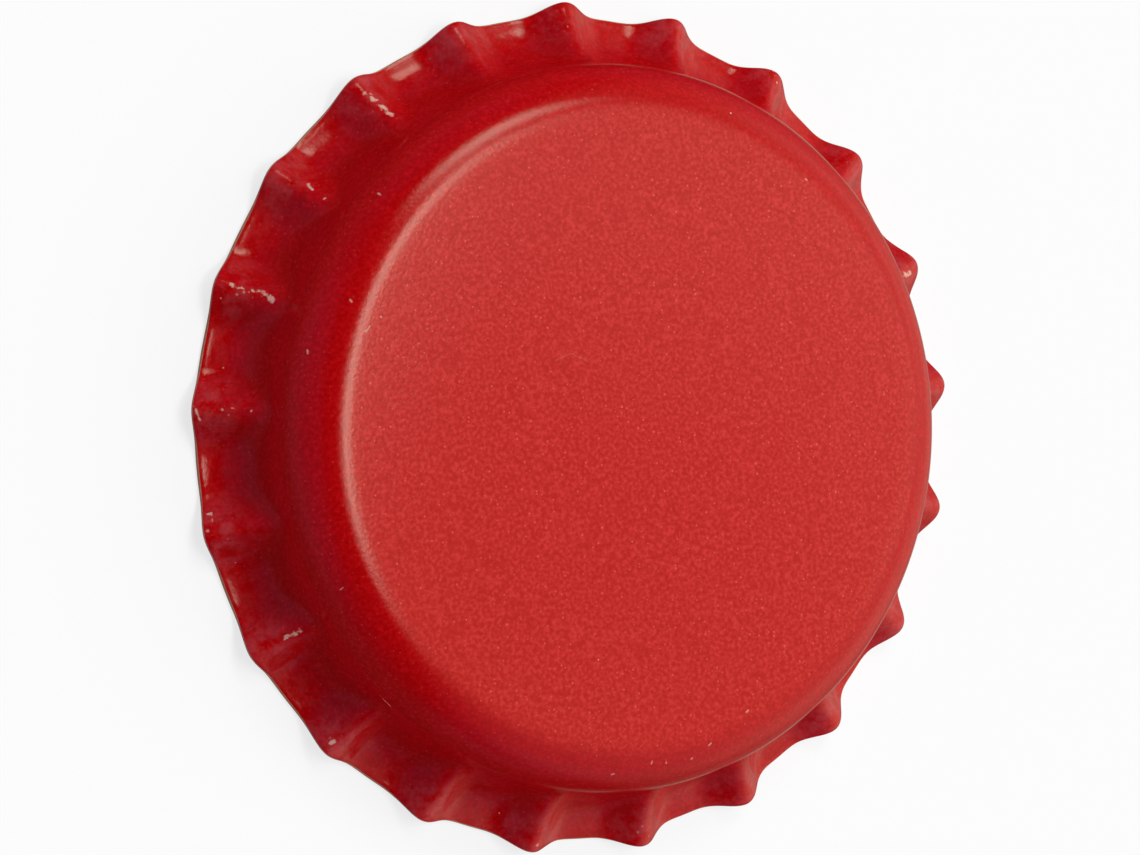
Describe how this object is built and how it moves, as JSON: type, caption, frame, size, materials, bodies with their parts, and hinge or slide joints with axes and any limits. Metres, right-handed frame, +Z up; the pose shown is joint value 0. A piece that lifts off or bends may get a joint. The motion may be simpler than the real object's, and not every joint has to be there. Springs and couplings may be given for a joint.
{
  "type": "crown bottle cap",
  "caption": "Uncrimped crown bottle cap: shallow domed red panel, rounded corner and flared, fluted skirt, with a moulded sealing liner inside.",
  "frame": {"origin": "centre of the plane that the skirt's lower edge stands on", "axes": "+Z up along the cap's axis, out through the panel; +X through one ridge of the skirt"},
  "size_m": [0.0318, 0.0318, 0.006],
  "materials": {
    "red_lacquer": "satin red lacquer on tinplate",
    "liner": "off-white moulded liner"
  },
  "bodies": {
    "root": {"shell": "red_lacquer", "liner": "liner"}
  },
  "joints": []
}
